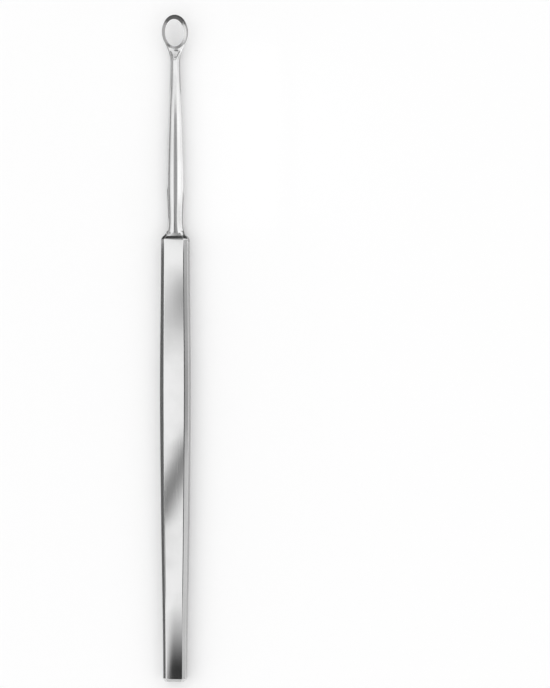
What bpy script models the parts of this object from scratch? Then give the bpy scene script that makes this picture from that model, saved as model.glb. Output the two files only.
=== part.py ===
"""Dermal curette: a flat eight-sided handle, a turned neck and an oval cutting loop, all one piece of stainless steel.

Y runs along the instrument, from the tail of the handle to the loop. X runs across it, and Z points up out of its
front face, the side that the cutting edge is on. It lies on the flat back of its handle, at Z = 0, and the middle of
its length is over the origin.

There are two nodes, the handle with its neck and the loop with its web, parted by a narrow slit across the neck's
tip. The real curette has no joint there. The slit lets collision follow the small loop and leave its opening open.
"""

from math import copysign, cos, pi, radians, sin, tan

import bmesh
import bpy
from mathutils import Vector

MM = 0.001

# Handle, a flat bar that swells gently towards the neck, with its four long edges ground off
HANDLE_LENGTH = 96.9 * MM
HANDLE_THICKNESS = 4.4 * MM
WIDTH_AT_TAIL = 4.95 * MM
WIDTH_AT_GRIP = 5.88 * MM
WIDTH_AT_SWELL = 6.39 * MM
WIDTH_AT_SHOULDER = 5.88 * MM
GRIP_FROM_TAIL = 35.0 * MM
SWELL_FROM_TAIL = 63.5 * MM
EDGE_BEVEL_ACROSS = 0.75 * MM
EDGE_BEVEL_DEEP = 0.60 * MM
END_BEVEL_ALONG = 0.60 * MM
END_BEVEL_INTO = 0.35 * MM

# Neck, turned round: a hollow fillet at the shoulder, a waist, a belly and a long taper. It ends at the loop's centre.
NECK_LENGTH = 44.4 * MM
WAIST_FROM_SHOULDER = 3.6 * MM
BELLY_FROM_SHOULDER = 11.0 * MM
TAPER_FROM_SHOULDER = 25.0 * MM
WAIST_DIAMETER = 3.35 * MM
BELLY_DIAMETER = 3.86 * MM
TAPER_DIAMETER = 3.08 * MM
TIP_DIAMETER = 2.06 * MM

# Loop, an oval ring whose front edge is ground sharp
OPENING_WIDTH = 4.15 * MM
OPENING_LENGTH = 6.00 * MM
LOOP_WALL = 0.80 * MM
LOOP_DEPTH = 1.30 * MM
LOOP_TILT = radians(12)
CUTTING_BEVEL_ACROSS = 0.42 * MM
CUTTING_BEVEL_DEEP = 0.15 * MM
BACK_ROUNDING = 0.30 * MM
INNER_RELIEF = 0.12 * MM
INNER_ROUNDING = 0.15 * MM

# Web, where the round neck flattens and spreads to run into both sides of the loop
WEB_LENGTH = 2.6 * MM
WEB_SETBACK = 0.05 * MM
WEB_BEND = 1.5 * MM
WEB_TUCK = 0.8 * MM
WEB_FULLNESS = 1.2
WEB_MEETS_LOOP_AT = radians(39)
SLIT = 0.3 * MM

# How finely the outlines and curves are divided
SIDE_STEPS = 4
LOOP_STEPS = 64
HANDLE_STEPS = 20
FILLET_STEPS = 7
NECK_STEPS = 22
WEB_STEPS = 12
ROUNDING_STEPS = 3
BULGE_STEPS = 4
CUTTER_OVERRUN = 0.6 * MM

STEEL_COLOUR = (0.60, 0.60, 0.60, 1.0)
STEEL_ROUGHNESS = 0.26
CREASE_ANGLE = radians(20)


def evenly(first, last, steps):
    """The values from first to last, both included, in this many equal steps."""
    return [first + (last - first) * i / steps for i in range(steps + 1)]


def ease(share):
    """Goes from 0 to 1 with no slope at either end."""
    return (1 - cos(pi * min(share, 1.0))) / 2


def smooth_through(stations, at):
    """A smooth curve's value at this place: it passes each (place, value) and is level at its two ends."""
    secants = [(v1 - v0) / (p1 - p0) for (p0, v0), (p1, v1) in zip(stations, stations[1:])]
    slopes = [0.0] + [(a + b) / 2 for a, b in zip(secants, secants[1:])] + [0.0]
    last = len(stations) - 2
    i = next((i for i in range(last) if at < stations[i + 1][0]), last)
    (p0, v0), (p1, v1) = stations[i], stations[i + 1]
    length = p1 - p0
    t = (at - p0) / length
    rise = t * t * (3 - 2 * t)
    start = t * (1 - t) ** 2 * slopes[i]
    end = t * t * (t - 1) * slopes[i + 1]
    return v0 + (v1 - v0) * rise + length * (start + end)


def lofted(name, rings):
    """An object with a closed skin over a row of rings of points, each ring with as many points as the next."""
    bm = bmesh.new()
    loops = []
    for ring in rings:
        points = [bm.verts.new(point) for point in ring]
        loops.append([bm.edges.new(pair) for pair in zip(points, points[1:] + points[:1])])
    for near, far in zip(loops, loops[1:]):
        bmesh.ops.bridge_loops(bm, edges=near + far)
    for end in (loops[0], loops[-1]):
        bmesh.ops.contextual_create(bm, geom=end)
    bmesh.ops.recalc_face_normals(bm, faces=bm.faces)
    mesh = bpy.data.meshes.new(name)
    bm.to_mesh(mesh)
    bm.free()
    made = bpy.data.objects.new(name, mesh)
    bpy.context.scene.collection.objects.link(made)
    return made


def eight_sided(half_width, half_thickness):
    """The handle's outline: a flat front and back, flat sides, and a bevel where they would meet."""
    side = Vector((half_width, half_thickness - EDGE_BEVEL_DEEP))
    front = Vector((half_width - EDGE_BEVEL_ACROSS, half_thickness))
    corners = [side, front] + [Vector((-x, z)) for x, z in (front, side)]
    corners += [-corner for corner in corners]
    return [
        start.lerp(end, share)
        for start, end in zip(corners, corners[1:] + corners[:1])
        for share in evenly(0, 1, SIDE_STEPS)[:-1]
    ]


def rounded(half_width, half_thickness, fullness=0.0):
    """An oval, squarer as its fullness grows, with its points in line with those of the eight-sided outline."""
    power = 2 / (2 + fullness)
    points = []
    for turn in evenly(pi / 8, pi / 8 + 2 * pi, 8 * SIDE_STEPS)[:-1]:
        x = copysign(abs(cos(turn)) ** power, cos(turn))
        z = copysign(abs(sin(turn)) ** power, sin(turn))
        points.append(Vector((x * half_width, z * half_thickness)))
    return points


def section(y, outline, above_middle=0.0):
    """The ring of points that an outline makes across the instrument, this far above the handle's middle."""
    return [(x, y, HANDLE_THICKNESS / 2 + above_middle + z) for x, z in outline]


def handle_sections():
    """The handle from its bevelled tail to the bevel at its shoulder."""
    widths = [
        (0.0, WIDTH_AT_TAIL),
        (GRIP_FROM_TAIL, WIDTH_AT_GRIP),
        (SWELL_FROM_TAIL, WIDTH_AT_SWELL),
        (HANDLE_LENGTH, WIDTH_AT_SHOULDER),
    ]
    half_thickness = HANDLE_THICKNESS / 2
    tail = eight_sided(WIDTH_AT_TAIL / 2 - END_BEVEL_INTO, half_thickness - END_BEVEL_INTO)
    sections = [section(0.0, tail)]
    for y in evenly(END_BEVEL_ALONG, HANDLE_LENGTH - END_BEVEL_ALONG, HANDLE_STEPS):
        sections.append(section(y, eight_sided(smooth_through(widths, y) / 2, half_thickness)))
    return sections


def fillet_sections():
    """The hollow curve from the bevelled shoulder in to the neck's waist, while the outline turns round."""
    waist = WAIST_DIAMETER / 2
    flare_x = WIDTH_AT_SHOULDER / 2 - END_BEVEL_INTO - waist
    flare_z = HANDLE_THICKNESS / 2 - END_BEVEL_INTO - waist
    sections = []
    for turn in evenly(0, pi / 2, FILLET_STEPS):
        along = 1 - cos(turn)
        size = (waist + flare_x * (1 - sin(turn)), waist + flare_z * (1 - sin(turn)))
        outline = [
            flat.lerp(curved, ease(along)) for flat, curved in zip(eight_sided(*size), rounded(*size))
        ]
        sections.append(section(HANDLE_LENGTH + WAIST_FROM_SHOULDER * along, outline))
    return sections


def loop_reach():
    """How far the loop's outer edge lies from its centre, along the instrument."""
    return OPENING_LENGTH / 2 + LOOP_WALL


def neck_sections():
    """The round neck from just past its waist, over the belly and down the taper to its tip, where the web begins."""
    tip_from_shoulder = NECK_LENGTH - loop_reach() - WEB_LENGTH
    diameters = [
        (WAIST_FROM_SHOULDER, WAIST_DIAMETER),
        (BELLY_FROM_SHOULDER, BELLY_DIAMETER),
        (TAPER_FROM_SHOULDER, TAPER_DIAMETER),
        (tip_from_shoulder, TIP_DIAMETER),
    ]
    sections = []
    for place in evenly(WAIST_FROM_SHOULDER, tip_from_shoulder, NECK_STEPS)[1:]:
        radius = smooth_through(diameters, place) / 2
        sections.append(section(HANDLE_LENGTH + place, rounded(radius, radius)))
    return sections


def web_thickness():
    """The web fills the loop's depth up to its cutting bevel, apart from a setback at the front and the back."""
    return LOOP_DEPTH - CUTTING_BEVEL_DEEP - 2 * WEB_SETBACK


def rise_at(from_centre):
    """How far the web's middle has risen to follow the loop's tilt, this far short of the loop's centre. The bend is
    in the wall that the web runs into."""
    past = max(OPENING_LENGTH / 2 + LOOP_WALL / 2 + WEB_BEND - from_centre, 0.0)
    bent = min(past, 2 * WEB_BEND)
    return tan(LOOP_TILT) * (bent**2 / (4 * WEB_BEND) + past - bent)


def web_sections():
    """The flattened end of the neck, from the slit on. Its sides curve out to run into the loop's outer edge with no
    corner, and then it goes on inside the loop's wall."""
    outer_x = OPENING_WIDTH / 2 + LOOP_WALL
    outer_y = loop_reach()
    start = outer_y + WEB_LENGTH
    meet = outer_y * sin(WEB_MEETS_LOOP_AT)
    tip = TIP_DIAMETER / 2
    spread = outer_x * cos(WEB_MEETS_LOOP_AT) - tip
    slope_where_met = outer_x / outer_y * tan(WEB_MEETS_LOOP_AT)
    power = slope_where_met * (start - meet) / spread
    half_thickness = web_thickness() / 2
    centre_y = HANDLE_LENGTH + NECK_LENGTH
    sections = []
    for from_centre in evenly(start - SLIT, meet, WEB_STEPS):
        done = (start - from_centre) / (start - meet)
        thinned = ease((start - from_centre) / WEB_LENGTH)
        outline = rounded(
            tip + spread * done**power,
            tip + (half_thickness - tip) * thinned,
            WEB_FULLNESS * done,
        )
        sections.append(section(centre_y - from_centre, outline, rise_at(from_centre)))
    end = meet - WEB_TUCK
    outline = rounded(tip + spread, half_thickness, WEB_FULLNESS)
    sections.append(section(centre_y - end, outline, rise_at(end)))
    return sections


def oval(outset, height):
    """A ring of points this far outside the loop's cutting edge, at this height above the loop's back."""
    half_width = OPENING_WIDTH / 2 + outset
    half_length = OPENING_LENGTH / 2 + outset
    turns = evenly(0, 2 * pi, LOOP_STEPS)[:-1]
    return [(half_width * cos(turn), half_length * sin(turn), height) for turn in turns]


def loop_blank():
    """The loop before it is pierced: a rounded back, a bulging side and the cutting bevel, which runs on inwards."""
    rounding = [
        (LOOP_WALL - BACK_ROUNDING * (1 - sin(turn)), BACK_ROUNDING * (1 - cos(turn)))
        for turn in evenly(0, pi / 2, ROUNDING_STEPS)
    ]
    bulge_height = LOOP_DEPTH - CUTTING_BEVEL_DEEP - BACK_ROUNDING
    bulge = [
        (LOOP_WALL - (LOOP_WALL - CUTTING_BEVEL_ACROSS) * share**2, BACK_ROUNDING + bulge_height * share)
        for share in evenly(0, 1, BULGE_STEPS)[1:]
    ]
    inwards = CUTTING_BEVEL_ACROSS / 2
    crest = (-inwards, LOOP_DEPTH + CUTTING_BEVEL_DEEP * inwards / CUTTING_BEVEL_ACROSS)
    return lofted("loop_blank", [oval(*place) for place in rounding + bulge + [crest]])


def loop_piercing():
    """The tapered hole through the loop, narrowest at the cutting edge, with its back edge eased."""
    taper = INNER_RELIEF / (LOOP_DEPTH - INNER_ROUNDING)
    profile = [
        (INNER_RELIEF + INNER_ROUNDING + CUTTER_OVERRUN, -CUTTER_OVERRUN),
        (INNER_RELIEF, INNER_ROUNDING),
        (-taper * CUTTER_OVERRUN, LOOP_DEPTH + CUTTER_OVERRUN),
    ]
    return lofted("loop_piercing", [oval(*place) for place in profile])


def loop_place():
    """The middle of the loop's back, where the web's back lies just inside the loop's own."""
    wall_middle = OPENING_LENGTH / 2 + LOOP_WALL / 2
    web_middle = WEB_SETBACK + web_thickness() / 2
    above_middle = wall_middle * tan(LOOP_TILT) - web_middle / cos(LOOP_TILT)
    return 0.0, HANDLE_LENGTH + NECK_LENGTH, HANDLE_THICKNESS / 2 + above_middle


def steel():
    """Polished stainless steel."""
    material = bpy.data.materials.new("stainless_steel")
    material.use_nodes = True
    shader = material.node_tree.nodes["Principled BSDF"]
    shader.inputs["Base Color"].default_value = STEEL_COLOUR
    shader.inputs["Metallic"].default_value = 1.0
    shader.inputs["Roughness"].default_value = STEEL_ROUGHNESS
    return material


def make_loop():
    """The web as one skin, joined with the loop, and then pierced."""
    loop = lofted("loop", web_sections())
    for helper, operation in ((loop_blank(), "UNION"), (loop_piercing(), "DIFFERENCE")):
        helper.parent = loop
        helper.location = loop_place()
        helper.rotation_euler = (LOOP_TILT, 0, 0)
        helper.hide_render = True
        helper.display_type = "WIRE"
        step = loop.modifiers.new(helper.name, "BOOLEAN")
        step.object = helper
        step.operation = operation
        step.solver = "EXACT"
    return loop


def overall_length(loop):
    """From the handle's tail to the loop's far edge."""
    bpy.context.view_layer.update()
    blank = loop.modifiers["loop_blank"].object
    return max((blank.matrix_world @ vertex.co).y for vertex in blank.data.vertices)


def make_curette():
    """The handle with its neck as one skin, and the loop, moved to lie across the origin."""
    handle = lofted("handle", handle_sections() + fillet_sections() + neck_sections())
    loop = make_loop()
    middle = overall_length(loop) / 2
    stainless = steel()
    for node in (handle, loop):
        node.location.y = -middle
        node.data.shade_smooth()
        node.data.set_sharp_from_angle(angle=CREASE_ANGLE)
        node.data.materials.append(stainless)


for old in list(bpy.data.objects):
    bpy.data.objects.remove(old, do_unlink=True)

make_curette()
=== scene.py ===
from math import asin, copysign, cos, hypot, pi, radians, sin, tan

import bmesh
import bpy
from mathutils import Matrix, Vector


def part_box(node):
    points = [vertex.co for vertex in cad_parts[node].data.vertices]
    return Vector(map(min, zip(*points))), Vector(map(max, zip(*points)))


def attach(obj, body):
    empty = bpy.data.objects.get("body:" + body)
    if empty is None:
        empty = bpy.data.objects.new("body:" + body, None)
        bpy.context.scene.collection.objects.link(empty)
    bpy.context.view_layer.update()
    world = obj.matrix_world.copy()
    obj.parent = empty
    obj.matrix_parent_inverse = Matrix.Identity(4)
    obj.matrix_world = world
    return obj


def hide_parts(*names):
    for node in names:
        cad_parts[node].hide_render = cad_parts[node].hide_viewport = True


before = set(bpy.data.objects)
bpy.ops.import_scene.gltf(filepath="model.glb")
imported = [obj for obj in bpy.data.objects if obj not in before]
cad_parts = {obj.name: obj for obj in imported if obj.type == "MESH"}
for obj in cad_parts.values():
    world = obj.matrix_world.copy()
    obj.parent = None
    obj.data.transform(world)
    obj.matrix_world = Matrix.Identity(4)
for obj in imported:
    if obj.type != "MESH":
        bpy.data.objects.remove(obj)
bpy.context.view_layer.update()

scene = bpy.context.scene

# Handle
# A flat bar of stainless steel that swells gently towards the neck. Its four long edges and its two ends are ground
# off to bevels, and polishing has softened every edge. One ring of points is drawn out along the whole instrument.
MM = 0.001
handle_low, handle_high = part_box("handle")
TAIL_Y = handle_low.y
THICKNESS = handle_high.z - handle_low.z
MIDDLE_Z = (handle_low.z + handle_high.z) / 2
HANDLE_LENGTH = 96.9 * MM
WIDTH_AT_SHOULDER = 5.88 * MM
WIDTHS = [(0.0, 4.95 * MM), (35.0 * MM, 5.88 * MM), (63.5 * MM, 6.388 * MM), (HANDLE_LENGTH, WIDTH_AT_SHOULDER)]
BEVEL_SHARE_OF_WIDTH = 0.147
EDGE_BEVEL_DEEP = 0.60 * MM
END_BEVEL_ALONG = 0.70 * MM
END_BEVEL_INTO = 0.42 * MM
LONG_EDGE_EASING = 0.15 * MM
END_EDGE_EASING = 0.12 * MM
HANDLE_STEPS = 60
EASING_STEPS = 7
CORNERS = 8
RING_POINTS = CORNERS * (EASING_STEPS + 1)


def evenly(first, last, steps):
    """The values from first to last, both included, in this many equal steps."""
    return [first + (last - first) * i / steps for i in range(steps + 1)]


def smooth_through(stations, at):
    """A smooth curve's value at this place: it passes each (place, value) and is level at its two ends."""
    secants = [(v1 - v0) / (p1 - p0) for (p0, v0), (p1, v1) in zip(stations, stations[1:])]
    slopes = [0.0] + [(a + b) / 2 for a, b in zip(secants, secants[1:])] + [0.0]
    last = len(stations) - 2
    i = next((i for i in range(last) if at < stations[i + 1][0]), last)
    (p0, v0), (p1, v1) = stations[i], stations[i + 1]
    length = p1 - p0
    t = (at - p0) / length
    rise = t * t * (3 - 2 * t)
    start = t * (1 - t) ** 2 * slopes[i]
    end = t * t * (t - 1) * slopes[i + 1]
    return v0 + (v1 - v0) * rise + length * (start + end)


def eased(line, cut_back):
    """The inner corners of a line of points, each rounded off from this far before it to this far past it."""
    curve = []
    for before, corner, after in zip(line, line[1:], line[2:]):
        start = corner + (before - corner).normalized() * cut_back
        end = corner + (after - corner).normalized() * cut_back
        for share in evenly(0, 1, EASING_STEPS):
            curve.append(start.lerp(corner, share).lerp(corner.lerp(end, share), share))
    return curve


def eight_sided(half_width, half_thickness):
    """The handle's outline: a flat front and back, flat sides, and a bevel between them, with softened corners."""
    side = Vector((half_width, half_thickness - EDGE_BEVEL_DEEP))
    front = Vector((half_width * (1 - 2 * BEVEL_SHARE_OF_WIDTH), half_thickness))
    corners = [side, front] + [Vector((-x, z)) for x, z in (front, side)]
    corners += [-corner for corner in corners]
    return eased(corners[-1:] + corners + corners[:1], LONG_EDGE_EASING)


def drawn_out(ring, y, outline, middle=MIDDLE_Z):
    """Extrudes the ring of edges at the end of the bar, lays the new ring on this outline at y, and returns it."""
    made = bmesh.ops.extrude_edge_only(bm, edges=ring)["geom"]
    for vert in (part for part in made if isinstance(part, bmesh.types.BMVert)):
        x, z = outline[vert[turn]]
        vert.co = (x, TAIL_Y + y, middle + z)
    return [part for part in made if isinstance(part, bmesh.types.BMEdge) and part.is_boundary]


bm = bmesh.new()
turn = bm.verts.layers.int.new("turn")
circle = bmesh.ops.create_circle(bm, segments=RING_POINTS, radius=THICKNESS)["verts"]
for i, vert in enumerate(circle):
    vert[turn] = i
ring = bm.edges[:]

past_bevel = END_BEVEL_ALONG + 2 * END_EDGE_EASING
well_inside = 3 * END_BEVEL_INTO
tail_line = [(0, well_inside), (0, END_BEVEL_INTO), (END_BEVEL_ALONG, 0), (past_bevel, 0)]
for y, into in eased([Vector(place) for place in tail_line], END_EDGE_EASING):
    ring = drawn_out(ring, y, eight_sided(smooth_through(WIDTHS, y) / 2 - into, THICKNESS / 2 - into))
bmesh.ops.delete(bm, geom=circle, context="VERTS")
bmesh.ops.contextual_create(bm, geom=[edge for edge in bm.edges if edge.is_boundary and edge not in ring])
for y in evenly(past_bevel, HANDLE_LENGTH - past_bevel, HANDLE_STEPS):
    ring = drawn_out(ring, y, eight_sided(smooth_through(WIDTHS, y) / 2, THICKNESS / 2))

# Shoulder and neck
# The flat bar is turned down to a slim round neck: a hollow curve at the shoulder, a waist, a belly and a long taper
# to the tip. Each ring's outline goes from the handle's eight sides to a circle on the way in.
loop_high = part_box("loop")[1]
NECK_LENGTH = 44.4 * MM
WAIST_FROM_SHOULDER = 3.6 * MM
ROUND_FROM_SHOULDER = 0.9 * MM
WAIST_DIAMETER = 3.35 * MM
TIP_DIAMETER = 2.06 * MM
OPENING_WIDTH = 4.15 * MM
OPENING_LENGTH = 6.00 * MM
LOOP_WALL = 0.80 * MM
WEB_LENGTH = 2.6 * MM
LOOP_REACH = OPENING_LENGTH / 2 + LOOP_WALL
NECK_TIP = NECK_LENGTH - LOOP_REACH - WEB_LENGTH
DIAMETERS = [
    (WAIST_FROM_SHOULDER, WAIST_DIAMETER),
    (11.0 * MM, 3.86 * MM),
    (25.0 * MM, 3.08 * MM),
    (NECK_TIP, TIP_DIAMETER),
]
FILLET_STEPS = 24
NECK_STEPS = 64


def ease(share):
    """Goes from 0 to 1 with no slope at either end."""
    return (1 - cos(pi * min(share, 1.0))) / 2


def rounded(half_width, half_thickness, fullness=0.0):
    """An oval, squarer as its fullness grows, with its points in line with those of the eight-sided outline."""
    power = 2 / (2 + fullness)
    first = pi / CORNERS - pi / RING_POINTS * EASING_STEPS
    points = []
    for angle in evenly(first, first + 2 * pi, RING_POINTS)[:-1]:
        x = copysign(abs(cos(angle)) ** power, cos(angle))
        z = copysign(abs(sin(angle)) ** power, sin(angle))
        points.append(Vector((x * half_width, z * half_thickness)))
    return points


waist = WAIST_DIAMETER / 2
flare_x = WIDTH_AT_SHOULDER / 2 - END_BEVEL_INTO - waist
flare_z = THICKNESS / 2 - END_BEVEL_INTO - waist
shoulder_line = [
    (-past_bevel, 0, 0),
    (-END_BEVEL_ALONG, 0, 0),
    (0, END_BEVEL_INTO, 0),
    (0, END_BEVEL_INTO, flare_x),
]
stations = eased([Vector(place) for place in shoulder_line], END_EDGE_EASING)
for angle in evenly(asin(END_EDGE_EASING / flare_x), pi / 2, FILLET_STEPS)[1:]:
    stations.append((WAIST_FROM_SHOULDER * (1 - cos(angle)), END_BEVEL_INTO, flare_x * sin(angle)))
for past, into, flared in stations:
    half_width = WIDTH_AT_SHOULDER / 2 - into - flared
    half_thickness = THICKNESS / 2 - into - flared * flare_z / flare_x
    rounding = ease(max(past, 0.0) / ROUND_FROM_SHOULDER)
    pairs = zip(eight_sided(half_width, half_thickness), rounded(half_width, half_thickness))
    ring = drawn_out(ring, HANDLE_LENGTH + past, [flat.lerp(curved, rounding) for flat, curved in pairs])
for past in evenly(WAIST_FROM_SHOULDER, NECK_TIP, NECK_STEPS)[1:]:
    radius = smooth_through(DIAMETERS, past) / 2
    ring = drawn_out(ring, HANDLE_LENGTH + past, rounded(radius, radius))

# Web
# The end of the neck is flattened and spread like a small spade, so that it runs into both sides of the loop with no
# corner. It bends up by the loop's tilt on the way.
LOOP_DEPTH = 1.30 * MM
LOOP_TILT = radians(12)
WEB_SETBACK = 0.19 * MM
WEB_THICKNESS = 0.77 * MM
WEB_BEND = 0.7 * MM
WEB_TUCK = 0.8 * MM
WEB_FULLNESS = 1.2
WEB_MEETS_LOOP_AT = radians(34)
WEB_STEPS = 40


def rise_at(from_centre):
    """How far the web's middle has risen to follow the loop's tilt, this far short of the loop's centre."""
    past = max(OPENING_LENGTH / 2 + LOOP_WALL / 2 + WEB_BEND - from_centre, 0.0)
    bent = min(past, 2 * WEB_BEND)
    return tan(LOOP_TILT) * (bent**2 / (4 * WEB_BEND) + past - bent)


web_start = LOOP_REACH + WEB_LENGTH
web_end = LOOP_REACH * sin(WEB_MEETS_LOOP_AT)
loop_half_width = OPENING_WIDTH / 2 + LOOP_WALL
tip = TIP_DIAMETER / 2
spread = loop_half_width * cos(WEB_MEETS_LOOP_AT) - tip
power = loop_half_width / LOOP_REACH * tan(WEB_MEETS_LOOP_AT) * (web_start - web_end) / spread
for from_centre in evenly(web_start, web_end, WEB_STEPS)[1:] + [web_end - WEB_TUCK]:
    done = min((web_start - from_centre) / (web_start - web_end), 1.0)
    half_thickness = tip + (WEB_THICKNESS / 2 - tip) * ease((web_start - from_centre) / WEB_LENGTH)
    outline = rounded(tip + spread * done**power, half_thickness, WEB_FULLNESS * done)
    y = HANDLE_LENGTH + NECK_LENGTH - from_centre
    ring = drawn_out(ring, y, outline, MIDDLE_Z + rise_at(from_centre))
bmesh.ops.contextual_create(bm, geom=ring)
bmesh.ops.recalc_face_normals(bm, faces=bm.faces)
mesh = bpy.data.meshes.new("curette_steel")
bm.to_mesh(mesh)
bm.free()
curette = bpy.data.objects.new("curette_steel", mesh)
scene.collection.objects.link(curette)

# Loop
# An oval ring, forged with the rest, pierced with a tapered hole, and ground to a bevel all round its front so that
# the hole's front edge cuts. Its blank and the piercing are turned round and stretched to the oval.
BACK_ROUNDING = 0.30 * MM
CUTTING_BEVEL_ACROSS = 0.58 * MM
CUTTING_BEVEL_DEEP = 0.20 * MM
INNER_RELIEF = 0.12 * MM
INNER_ROUNDING = 0.15 * MM
BULGE_STEPS = 12
LOOP_STEPS = 160
OVERRUN = 0.6 * MM
SAME_HEIGHT = 0.0001 * MM


def turned_oval(name, profile):
    """A solid turned from (distance outside the cutting edge, height above the loop's back), stretched to the oval."""
    bm = bmesh.new()
    points = [bm.verts.new((OPENING_WIDTH / 2 + outset, 0, height)) for outset, height in profile]
    edges = [bm.edges.new(pair) for pair in zip(points, points[1:])]
    around = {"cent": (0, 0, 0), "axis": (0, 0, 1), "angle": 2 * pi}
    bmesh.ops.spin(bm, geom=points + edges, steps=LOOP_STEPS, use_merge=True, **around)
    for height in (profile[0][1], profile[-1][1]):
        open_edges = [edge for edge in bm.edges if edge.is_boundary]
        rim = [edge for edge in open_edges if abs(edge.verts[0].co.z - height) < SAME_HEIGHT]
        bmesh.ops.contextual_create(bm, geom=rim)
    for vert in bm.verts:
        vert.co.y += (OPENING_LENGTH - OPENING_WIDTH) / 2 * vert.co.y / hypot(vert.co.x, vert.co.y)
    place = Vector((0, loop_high.y - far_reach, loop_back))
    bmesh.ops.rotate(bm, verts=bm.verts, cent=(0, 0, 0), matrix=Matrix.Rotation(LOOP_TILT, 3, "X"))
    bmesh.ops.translate(bm, verts=bm.verts, vec=place)
    bmesh.ops.recalc_face_normals(bm, faces=bm.faces)
    mesh = bpy.data.meshes.new(name)
    bm.to_mesh(mesh)
    bm.free()
    made = bpy.data.objects.new(name, mesh)
    scene.collection.objects.link(made)
    return made


wall_middle = OPENING_LENGTH / 2 + LOOP_WALL / 2
loop_back = MIDDLE_Z + wall_middle * tan(LOOP_TILT) - (WEB_SETBACK + WEB_THICKNESS / 2) / cos(LOOP_TILT)
far_reach = (LOOP_REACH - BACK_ROUNDING) * cos(LOOP_TILT) + BACK_ROUNDING * (1 - sin(LOOP_TILT))
blank_profile = [
    (LOOP_WALL - BACK_ROUNDING * (1 - sin(angle)), BACK_ROUNDING * (1 - cos(angle)))
    for angle in evenly(0, pi / 2, EASING_STEPS)
]
bulge_height = LOOP_DEPTH - CUTTING_BEVEL_DEEP - BACK_ROUNDING
blank_profile += [
    (LOOP_WALL - (LOOP_WALL - CUTTING_BEVEL_ACROSS) * share**2, BACK_ROUNDING + bulge_height * share)
    for share in evenly(0, 1, BULGE_STEPS)[1:]
]
inwards = CUTTING_BEVEL_ACROSS / 2
blank_profile.append((-inwards, LOOP_DEPTH + CUTTING_BEVEL_DEEP * inwards / CUTTING_BEVEL_ACROSS))
taper = INNER_RELIEF / (LOOP_DEPTH - INNER_ROUNDING)
piercing_profile = [
    (INNER_RELIEF + INNER_ROUNDING + OVERRUN, -OVERRUN),
    (INNER_RELIEF, INNER_ROUNDING),
    (-taper * OVERRUN, LOOP_DEPTH + OVERRUN),
]
blank = turned_oval("loop_blank", blank_profile)
piercing = turned_oval("loop_piercing", piercing_profile)
for helper, operation in ((blank, "UNION"), (piercing, "DIFFERENCE")):
    cut = curette.modifiers.new(helper.name, "BOOLEAN")
    cut.object = helper
    cut.operation = operation
    cut.solver = "EXACT"
forged = bpy.data.meshes.new_from_object(curette.evaluated_get(bpy.context.evaluated_depsgraph_get()))
curette.modifiers.clear()
curette.data = forged
for helper in (blank, piercing):
    bpy.data.objects.remove(helper)

# Polish
# Surgical stainless steel, satin polished lengthwise with a fine belt. Handling has rubbed the eased edges smoother,
# and they are painted a little lighter as a painted highlight. The bevel round the loop is left as the grinding wheel
# leaves it, and is painted a darker tone: partly its duller ground finish, partly painted shade.
CREASE_ANGLE = radians(28)
HIGHLIGHT_AND_RUBBED_RADIUS = 0.25 * MM
NO_HIGHLIGHT_OR_RUBBING_RADIUS = 0.90 * MM
DULL_TONE = (0.67, 0.67, 0.67, 1.0)
SATIN_TONE = (0.72, 0.72, 0.72, 1.0)
# Painted highlight: the lighter tone given to the rounded convex edges.
EDGE_HIGHLIGHT_AND_RUBBED_TONE = (0.78, 0.78, 0.78, 1.0)
# Painted shade: the darker tone of the loop's ground bevel, partly its duller ground finish.
GROUND_AND_SHADE_TONE = (0.60, 0.60, 0.60, 1.0)
GRAIN_WIDTH = 0.07 * MM
GRAIN_LENGTH = 4.0 * MM
GRAIN_DEPTH = 0.0014 * MM
GRAIN_DETAIL = 3.0
SCRATCH_WIDTH = 0.16 * MM
SCRATCH_LENGTH = 14.0 * MM
SCRATCH_DETAIL = 1.0
SCRATCHES_SHOW_BETWEEN = (0.66, 0.72)
SMEAR_SIZE = 9.0 * MM
SMEAR_DETAIL = 4.0
SMEARS_SHOW_BETWEEN = (0.35, 0.65)
WHEEL_MARK_SIZE = 0.03 * MM
WHEEL_MARK_DETAIL = 2.0
SATIN_ROUGHNESS = 0.17
GRAIN_VARIES_BY = 0.10
SMEARS_DULL_BY = 0.05
SCRATCHES_DULL_BY = 0.05
RUBBING_SHINES_BY = 0.05
GRINDING_DULLS_BY = 0.03
WHEEL_MARKS_VARY_BY = 0.10
SMALLEST_EDGE = 0.001 * MM


def in_loop(point):
    """A point as seen from the loop: from its centre, and square to its plane above its back."""
    return Matrix.Rotation(-LOOP_TILT, 3, "X") @ (point - Vector((0, loop_high.y - far_reach, loop_back)))


bm = bmesh.new()
bm.from_mesh(forged)
bmesh.ops.remove_doubles(bm, verts=bm.verts, dist=SMALLEST_EDGE)
bmesh.ops.recalc_face_normals(bm, faces=bm.faces)
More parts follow.
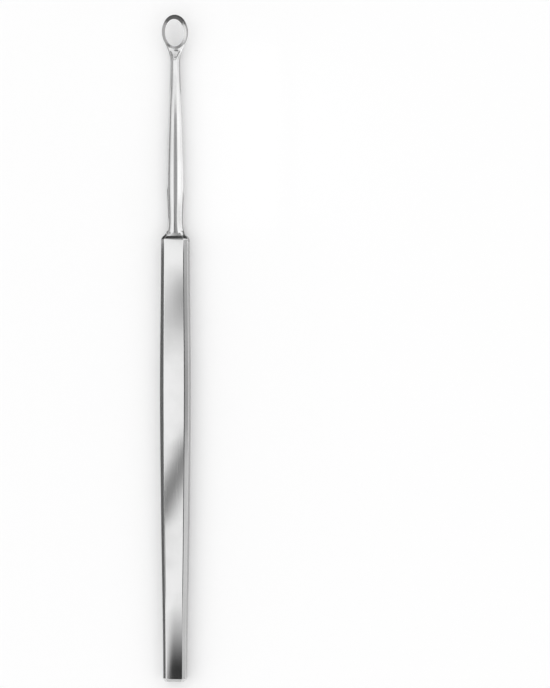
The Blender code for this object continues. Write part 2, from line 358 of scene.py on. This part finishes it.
# This layer marks the rounded convex edges: rubbed smoother, and given a painted highlight in the base colour.
rubbed_and_highlight = bm.verts.layers.float.new("rubbed_and_highlight")
ground_bevel_and_shade = bm.faces.layers.float.new("ground_bevel_and_shade")
for face in bm.faces:
    face.smooth = True
    x, y, height = in_loop(face.calc_center_median())
    out = hypot(x / (OPENING_WIDTH / 2 + CUTTING_BEVEL_ACROSS), y / (OPENING_LENGTH / 2 + CUTTING_BEVEL_ACROSS))
    # This marks the loop's ground bevel, which gets a darker tone: partly its ground finish, partly painted shade.
    face[ground_bevel_and_shade] = float(out < 1 and LOOP_DEPTH - CUTTING_BEVEL_DEEP < height < LOOP_DEPTH)
for edge in bm.edges:
    bend = edge.calc_face_angle_signed(0.0)
    edge.smooth = abs(bend) < CREASE_ANGLE and len({face[ground_bevel_and_shade] for face in edge.link_faces}) == 1
    across = sum(face.calc_area() for face in edge.link_faces) / (2 * edge.calc_length())
    if edge.smooth and bend > 0:
        sharpness = (NO_HIGHLIGHT_OR_RUBBING_RADIUS - across / bend) / (NO_HIGHLIGHT_OR_RUBBING_RADIUS - HIGHLIGHT_AND_RUBBED_RADIUS)
        for vert in edge.verts:
            vert[rubbed_and_highlight] = max(vert[rubbed_and_highlight], min(sharpness, 1.0))
bm.to_mesh(forged)
bm.free()
weighted = curette.modifiers.new("even_normals", "WEIGHTED_NORMAL")
weighted.keep_sharp = True


class Value:
    """A shader socket, so that maths on it is written as a plain expression."""

    def __init__(self, socket):
        self.socket = socket

    @classmethod
    def node(cls, tree, kind, settings=(), sockets=(), out=0):
        """Adds a node, gives it these settings, fills or joins its sockets, and returns one of its outputs."""
        made = tree.nodes.new(kind)
        for name, setting in dict(settings).items():
            setattr(made, name, setting)
        for name, value in dict(sockets).items():
            if isinstance(value, Value):
                tree.links.new(value.socket, made.inputs[name])
            else:
                made.inputs[name].default_value = value
        return cls(made.outputs[out])

    def output(self, name):
        """Another output of this value's node."""
        return Value(self.socket.node.outputs[name])

    def to(self, made, name):
        """Joins the value to a socket of a node that is there already."""
        self.socket.id_data.links.new(self.socket, made.inputs[name])

    def maths(self, operation, *values):
        """Adds the Math node of this operation on these values."""
        return Value.node(self.socket.id_data, "ShaderNodeMath", {"operation": operation}, enumerate(values))

    def __add__(self, other):
        return self.maths("ADD", self, other)

    __radd__ = __add__

    def __mul__(self, other):
        return self.maths("MULTIPLY", self, other)

    __rmul__ = __mul__

    def __sub__(self, other):
        return self.maths("SUBTRACT", self, other)

    def __rsub__(self, other):
        return self.maths("SUBTRACT", other, self)

    def __pow__(self, other):
        return self.maths("POWER", self, other)

    def __abs__(self):
        return self.maths("ABSOLUTE", self)

    def between(self, low, high):
        """Goes smoothly from 0 at low to 1 at high."""
        sockets = {"Value": self, "From Min": low, "From Max": high}
        return Value.node(self.socket.id_data, "ShaderNodeMapRange", {"interpolation_type": "SMOOTHSTEP"}, sockets)

    def mixed(self, first, second):
        """The first colour where the value is 0, and the second where it is 1."""
        sockets = {0: self, 6: first, 7: second}
        return Value.node(self.socket.id_data, "ShaderNodeMix", {"data_type": "RGBA"}, sockets, out=2)


steel = bpy.data.materials.new("satin_steel")
steel.use_nodes = True
tree = steel.node_tree
shader = tree.nodes["Principled BSDF"]
shader.inputs["Metallic"].default_value = 1.0
place = Value.node(tree, "ShaderNodeTexCoord", out="Object")


def drawn_lengthwise(width, length, detail):
    """Noise drawn out along the instrument: streaks about this wide and this long."""
    scale = (1 / width, 1 / length, 1 / width)
    streaks = Value.node(tree, "ShaderNodeMapping", (), {"Vector": place, "Scale": scale})
    return Value.node(tree, "ShaderNodeTexNoise", (), {"Vector": streaks, "Scale": 1.0, "Detail": detail})


grain = drawn_lengthwise(GRAIN_WIDTH, GRAIN_LENGTH, GRAIN_DETAIL)
scratches = drawn_lengthwise(SCRATCH_WIDTH, SCRATCH_LENGTH, SCRATCH_DETAIL).between(*SCRATCHES_SHOW_BETWEEN)
clouds = {"Vector": place, "Scale": 1 / SMEAR_SIZE, "Detail": SMEAR_DETAIL}
smeared = Value.node(tree, "ShaderNodeTexNoise", (), clouds).between(*SMEARS_SHOW_BETWEEN)
worn_and_highlight = Value.node(tree, "ShaderNodeAttribute", {"attribute_name": "rubbed_and_highlight"}, out="Fac")
wheel_cut_and_shade = Value.node(tree, "ShaderNodeAttribute", {"attribute_name": "ground_bevel_and_shade"}, out="Fac")
loop_centre = {"Vector": place, "Location": (0, far_reach - loop_high.y, 0)}
from_centre = Value.node(tree, "ShaderNodeMapping", (), loop_centre)
squashed = {0: from_centre, 1: (OPENING_LENGTH / OPENING_WIDTH, 1.0, 0.0)}
oval = Value.node(tree, "ShaderNodeVectorMath", {"operation": "MULTIPLY"}, squashed)
outwards = Value.node(tree, "ShaderNodeVectorMath", {"operation": "LENGTH"}, {0: oval}, out="Value")
rings = {"W": outwards, "Scale": 1 / WHEEL_MARK_SIZE, "Detail": WHEEL_MARK_DETAIL}
wheel_marks = Value.node(tree, "ShaderNodeTexNoise", {"noise_dimensions": "1D"}, rings)

tone = smeared.mixed(SATIN_TONE, DULL_TONE)
# Painted highlight: the rounded edges take a lighter tone, on top of being rubbed smoother.
tone = worn_and_highlight.mixed(tone, EDGE_HIGHLIGHT_AND_RUBBED_TONE)
# The loop's bevel takes a darker tone: partly its ground finish, partly painted shade.
tone = wheel_cut_and_shade.mixed(tone, GROUND_AND_SHADE_TONE)
tone.to(shader, "Base Color")
satin = SATIN_ROUGHNESS + SMEARS_DULL_BY * smeared + GRAIN_VARIES_BY * (grain - 0.5)
handled = satin + SCRATCHES_DULL_BY * scratches - RUBBING_SHINES_BY * worn_and_highlight
roughness = handled + wheel_cut_and_shade * (GRINDING_DULLS_BY + WHEEL_MARKS_VARY_BY * (wheel_marks - 0.5))
roughness.to(shader, "Roughness")
marks = grain * (1 - wheel_cut_and_shade) + wheel_marks * wheel_cut_and_shade
bump = {"Strength": 1.0, "Distance": GRAIN_DEPTH, "Height": marks}
Value.node(tree, "ShaderNodeBump", (), bump).to(shader, "Normal")
forged.materials.clear()
forged.materials.append(steel)
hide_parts("handle", "loop")
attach(curette, "root")

# Floor and light
# A plain pale table top in a plain pale room. Studio cards hang round the instrument, out of every light's way and
# the camera's: only the steel's reflections show them, as soft dark and light patches.
FLOOR_HALF_SIDE = 1.5
FLOOR_TONE = (0.96, 0.96, 0.96, 1.0)
FLOOR_ROUGHNESS = 0.9
bm = bmesh.new()
bmesh.ops.create_grid(bm, x_segments=1, y_segments=1, size=FLOOR_HALF_SIDE)
mesh = bpy.data.meshes.new("floor")
bm.to_mesh(mesh)
bm.free()
floor = bpy.data.objects.new("floor", mesh)
scene.collection.objects.link(floor)
table_top = bpy.data.materials.new("table_top")
table_top.use_nodes = True
laminate = table_top.node_tree.nodes["Principled BSDF"]
laminate.inputs["Base Color"].default_value = FLOOR_TONE
laminate.inputs["Roughness"].default_value = FLOOR_ROUGHNESS
mesh.materials.append(table_top)


def card(name, centre, size, faces, grey, fades, turned=0.0, hole=0.0):
    """A studio card of this grey, with its centre and size in millimetres. It fades to nothing over these shares of
    its half width, and of its half length at its near and far end. One with a hole is an oval ring: it is open up to
    this share of its half size."""
    bm = bmesh.new()
    bm.loops.layers.uv.new("UVMap")
    bmesh.ops.create_grid(bm, x_segments=1, y_segments=1, size=0.5, calc_uvs=True)
    bmesh.ops.scale(bm, verts=bm.verts, vec=(size[0] * MM, size[1] * MM, 1))
    towards = Vector(faces)
    along = Vector((0, 0, 1)) if towards.y else Vector((0, 1, 0))
    facing = Matrix((along.cross(towards), along, towards)).transposed() @ Matrix.Rotation(turned, 3, "Z")
    bmesh.ops.rotate(bm, verts=bm.verts, cent=(0, 0, 0), matrix=facing)
    bmesh.ops.translate(bm, verts=bm.verts, vec=Vector(centre) * MM)
    mesh = bpy.data.meshes.new(name)
    bm.to_mesh(mesh)
    bm.free()
    made = bpy.data.objects.new(name, mesh)
    scene.collection.objects.link(made)
    made.visible_camera = made.visible_diffuse = made.visible_shadow = made.visible_transmission = False
    material = bpy.data.materials.new(name)
    material.use_nodes = True
    tree = material.node_tree
    tree.nodes.remove(tree.nodes["Principled BSDF"])
    place = Value.node(tree, "ShaderNodeUVMap", {"uv_map": "UVMap"})
    parts = Value.node(tree, "ShaderNodeSeparateXYZ", (), {"Vector": place})
    across = 2 * parts - 1
    up = 2 * parts.output("Y") - 1
    sides, near, far = fades
    if hole:
        out = (across * across + up * up) ** 0.5
        mask = out.between(hole, hole + sides) * (1 - out).between(0.0, sides)
    else:
        ends = (1 + up).between(0.0, near) * (1 - up).between(0.0, far)
        mask = (1 - abs(across)).between(0.0, sides) * ends
    clear = Value.node(tree, "ShaderNodeBsdfTransparent")
    glow = Value.node(tree, "ShaderNodeEmission", (), {"Color": (grey, grey, grey, 1)})
    mixed = Value.node(tree, "ShaderNodeMixShader", (), {0: mask, 1: clear, 2: glow})
    mixed.to(tree.nodes["Material Output"], "Surface")
    mesh.materials.append(material)


UP = (0, 0, 1)
RIGHT = (1, 0, 0)
LEFT = (-1, 0, 0)
BACK = (0, -1, 0)
card("left_of_handle", (-30, -27, 9.5), (19, 104), RIGHT, 0.13, (0.25, 0.05, 0.05))
card("left_of_neck", (-30, 51, 7.5), (15, 52), RIGHT, 0.30, (0.3, 0.05, 0.05))
card("right_of_handle", (30, 3, 17), (28, 62), LEFT, 0.56, (0.35, 0.4, 0.2))
card("beside_handle", (4.6, -24, 0.1), (4, 100), UP, 0.50, (0.2, 0.1, 0.1))
card("right_over_handle", (14, -21, 19), (22, 92), UP, 0.03, (0.3, 0.35, 0.1))
card("dip_by_shoulder", (-1.7, 6.5, 16.8), (14, 26), UP, 0.85, (0.5, 1.0, 1.0))
card("patch_by_shoulder", (0.9, 11.0, 16.4), (10, 20), UP, 0.45, (1.0, 1.0, 1.0))
card("patch_below_middle", (-1.4, -28.9, 16.4), (9.5, 28), UP, 0.20, (1.0, 0.5, 0.5), radians(-25))
card("patch_at_tail", (3.3, -65.5, 9.0), (12, 26), UP, 0.005, (0.33, 0.08, 1.42), radians(-4))
card("over_neck", (4.5, 42.0, 22), (21, 36), UP, 0.38, (0.4, 0.1, 0.5))
card("right_of_neck", (25, 46, 21), (44, 42), LEFT, 1.35, (0.3, 0.3, 0.3))
card("beside_neck", (14, 46, 0.1), (18, 46), UP, 1.30, (0.2, 0.2, 0.2))
card("under_neck", (4.1, 29, 0.12), (4, 12), UP, 0.45, (0.3, 0.1, 0.5))
card("right_of_shoulder", (3.9, 25.7, 3.2), (3, 3), BACK, 0.03, (0.1, 0.1, 0.1))
card("left_of_shoulder", (-4.1, 25.7, 2.9), (3, 3), BACK, 0.05, (0.1, 0.1, 0.1))
card("floor_left_of_shoulder", (-9.7, 31.6, 0.12), (8, 8), UP, 0.05, (0.3, 0.3, 0.3))
card("over_waist", (-0.8, 27.3, 21.5), (7, 5.2), UP, 0.10, (0.5, 0.1, 0.5))
card("high_left_of_handle", (-66, -12, 60), (40, 56), UP, 0.02, (0.3, 0.3, 0.3))
card("high_left_of_tail", (-36, -46, 60), (44, 32), UP, 0.02, (0.2, 0.3, 0.3))
card("beyond_loop", (-15, 152, 60), (90, 150), UP, 0.02, (0.1, 0.05, 0.1))
card("stands_beyond_loop", (0, 92, 11), (90, 22), BACK, 0.08, (0.2, 0.1, 0.2))
card("floor_beyond_loop", (0, 84, 0.12), (44, 24), UP, 0.10, (0.3, 0.1, 0.1))
card("over_loop_end", (-1.8, 76.5, 11), (32, 14), UP, 0.14, (0.15, 0.15, 0.15))
card("over_opening", (-1.0, 67.8, 9), (7, 6.5), UP, 1.0, (0.2, 0.2, 0.2))
card("over_web", (0.0, 65.65, 6.0), (1.7, 1.2), UP, 0.03, (0.4, 0.4, 0.4))
card("left_over_loop", (-13, 64, 11), (12, 15), UP, 0.60, (0.15, 0.15, 0.15))
card("round_under_loop", (0, 68.7, 0.1), (26, 28), UP, 0.50, (0.1, 0.1, 0.1), hole=0.26)

WALL_LIGHT = 0.60
CEILING_LIGHT = 1.18
WALLS_END_AT = radians(12)
CEILING_STARTS_AT = radians(50)
world = bpy.data.worlds.new("studio")
world.use_nodes = True
tree = world.node_tree
direction = Value.node(tree, "ShaderNodeTexCoord")
height = Value.node(tree, "ShaderNodeSeparateXYZ", (), {"Vector": direction}, out="Z")
overhead = height.between(sin(WALLS_END_AT), sin(CEILING_STARTS_AT))
level = WALL_LIGHT + (CEILING_LIGHT - WALL_LIGHT) * overhead
tree.nodes["Background"].inputs["Color"].default_value = (1.0, 1.0, 1.0, 1.0)
level.to(tree.nodes["Background"], "Strength")
scene.world = world

# Camera
# A long lens that looks down on the instrument from a little to its right.
LENS = 200.0
SENSOR = 36.0
VIEW_HEIGHT = 149.7 * MM
VIEW_TURN = radians(6.5)
VIEW_ASIDE = 21.7 * MM
VIEW_ALONG = 0.925 * MM
distance = VIEW_HEIGHT * LENS / SENSOR
camera_data = bpy.data.cameras.new("camera")
camera_data.lens = LENS
camera_data.sensor_width = SENSOR
camera = bpy.data.objects.new("camera", camera_data)
across = Vector((cos(VIEW_TURN), 0, -sin(VIEW_TURN)))
back = Vector((sin(VIEW_TURN), 0, cos(VIEW_TURN)))
camera.location = Vector((0, VIEW_ALONG, MIDDLE_Z)) + across * VIEW_ASIDE + back * distance
camera.rotation_euler = (0, VIEW_TURN, 0)
scene.collection.objects.link(camera)
scene.camera = camera
scene.view_settings.view_transform = "Standard"
